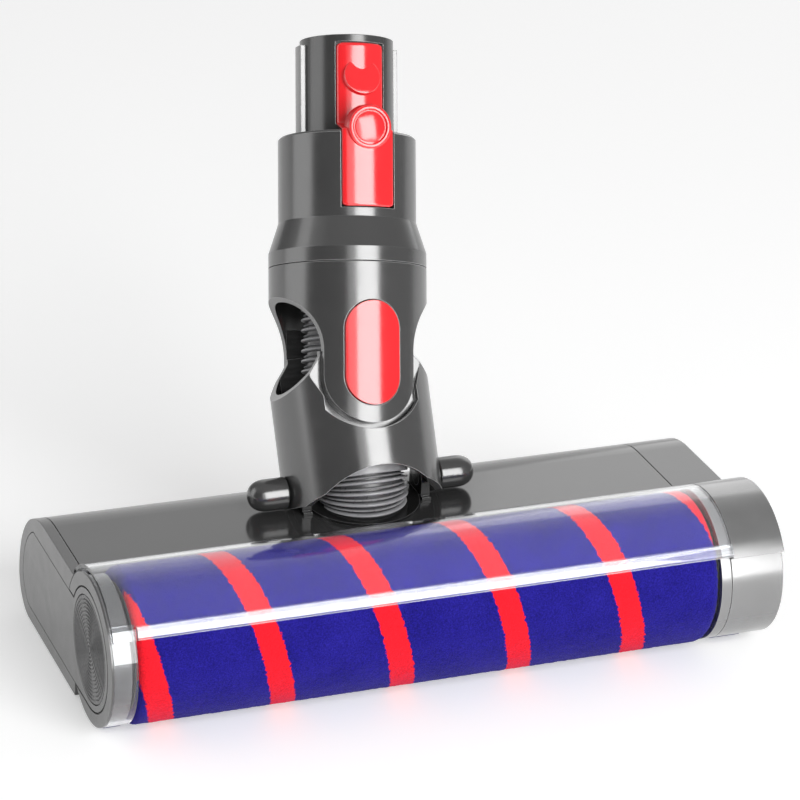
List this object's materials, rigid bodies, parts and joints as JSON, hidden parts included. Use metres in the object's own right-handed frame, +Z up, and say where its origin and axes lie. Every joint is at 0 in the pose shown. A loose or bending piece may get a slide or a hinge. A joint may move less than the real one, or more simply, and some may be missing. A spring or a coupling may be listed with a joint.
{
  "type": "vacuum floor brush head",
  "caption": "Motor-driven floor head with a soft roller under a clear visor, a rear brush, and a neck that tilts and swivels up to a latched spigot.",
  "frame": {"origin": "centre of the overall box in plan, on the floor", "axes": "+X along the roller towards the removable end cap, +Y from the roller towards the neck, +Z up"},
  "size_m": [0.25, 0.1656, 0.202],
  "materials": {
    "cover_grey": "gloss",
    "cap_smoke": "gloss",
    "panel_grey": "satin",
    "neck_grey": "gloss",
    "spigot_grey": "gloss",
    "clear_plastic": "gloss",
    "rail_light": "gloss",
    "black_plastic": "satin",
    "chassis_plastic": "matte",
    "trim_red": "gloss",
    "pile_blue": "soft pile",
    "pile_red": "soft pile",
    "felt_navy": "felt",
    "bristle_black": "matte",
    "hose_grey": "satin",
    "duct_white": "satin",
    "motor_can": "satin",
    "steel": "satin",
    "brass": "satin",
    "belt_rubber": "matte",
    "core_plastic": "satin"
  },
  "bodies": {
    "head": {"top_cover": "cover_grey", "right_section": "cover_grey", "left_end_housing": "cover_grey", "left_panel": "panel_grey", "left_face_ring": "cover_grey", "left_disc": "panel_grey", "visor": "clear_plastic", "bayonet_ring": "black_plastic", "felt_left": "felt_navy", "motor_pod": "black_plastic", "motor": "motor_can", "front_bearing": "steel", "brush_bush_left": "black_plastic", "brush_bush_right": "black_plastic", "chassis": "chassis_plastic", "sole_plate": "chassis_plastic", "wheel_axle_left": "steel", "wheel_axle_right": "steel", "air_duct": "chassis_plastic", "housing_screws": "steel", "neck_bracket": "black_plastic", "pivot_knob_left": "neck_grey", "pivot_knob_right": "neck_grey", "drive_belt": "belt_rubber"},
    "roller": {"roller_core": "core_plastic", "pile_sleeve": "pile_blue", "red_strip": "pile_red", "roller_hub": "core_plastic", "roller_stub": "steel", "roller_bush": "black_plastic", "drive_shaft": "steel", "drive_dog": "core_plastic", "drive_socket": "core_plastic", "motor_pulley": "steel"},
    "rear_brush": {"brush_spindle": "core_plastic", "brush_bristles": "bristle_black", "brush_pulley": "steel"},
    "end_cap_body": {"end_cap": "cap_smoke", "cap_bush": "black_plastic", "felt_right": "felt_navy"},
    "wheel_left_body": {"wheel_left": "black_plastic"},
    "wheel_right_body": {"wheel_right": "black_plastic"},
    "lower_neck": {"yoke": "neck_grey", "hose_bellows": "hose_grey", "air_hose": "hose_grey"},
    "upper_neck": {"saddle": "neck_grey", "pivot_cover_front": "trim_red", "pivot_cover_rear": "trim_red", "swivel_pin_front": "steel", "swivel_pin_rear": "steel", "collar": "neck_grey", "latch_pin": "steel", "spigot_tube": "spigot_grey", "rail_left": "rail_light", "rail_right": "rail_light", "inner_duct": "spigot_grey", "plug_housing": "black_plastic", "contact_pins": "brass", "latch_spring": "steel"},
    "latch": {"release_latch": "trim_red"}
  },
  "joints": [
    {"name": "roller_spin", "type": "hinge", "parent": "head", "child": "roller", "pos_m": [0, -0.05508, 0.0277], "axis": [1, 0, 0], "continuous": true},
    {"name": "brush_spin", "type": "hinge", "parent": "head", "child": "rear_brush", "pos_m": [0, -0.01508, 0.0094], "axis": [1, 0, 0], "continuous": true},
    {"name": "end_cap_turn", "type": "hinge", "parent": "head", "child": "end_cap_body", "pos_m": [0, -0.05508, 0.0277], "axis": [1, 0, 0], "range_deg": [0, 45]},
    {"name": "wheel_left_spin", "type": "hinge", "parent": "head", "child": "wheel_left_body", "pos_m": [-0.072, 0.01012, 0.0055], "axis": [1, 0, 0], "continuous": true},
    {"name": "wheel_right_spin", "type": "hinge", "parent": "head", "child": "wheel_right_body", "pos_m": [0.072, 0.01012, 0.0055], "axis": [1, 0, 0], "continuous": true},
    {"name": "neck_tilt", "type": "hinge", "parent": "head", "child": "lower_neck", "pos_m": [-0.0094, -0.00708, 0.053], "axis": [-1, 0, 0], "range_deg": [-28, 32], "deforming": ["hose_bellows"]},
    {"name": "neck_swivel", "type": "hinge", "parent": "lower_neck", "child": "upper_neck", "pos_m": [-0.0094, 0.01029, 0.08567], "axis": [0, 0.8829, -0.4695], "range_deg": [-32.5, 17.5], "deforming": ["air_hose"]},
    {"name": "latch_press", "type": "hinge", "parent": "upper_neck", "child": "latch", "pos_m": [-0.00105, 0.02242, 0.15108], "axis": [-0.9914, 0.0613, 0.1152], "range_deg": [0, 1.8], "stiffness_Nm_per_rad": 2, "springref_deg": -1.72, "deforming": ["latch_spring"]}
  ],
  "couplings": [
    {"joint": "brush_spin", "follows": "roller_spin", "ratio": 1.4}
  ]
}
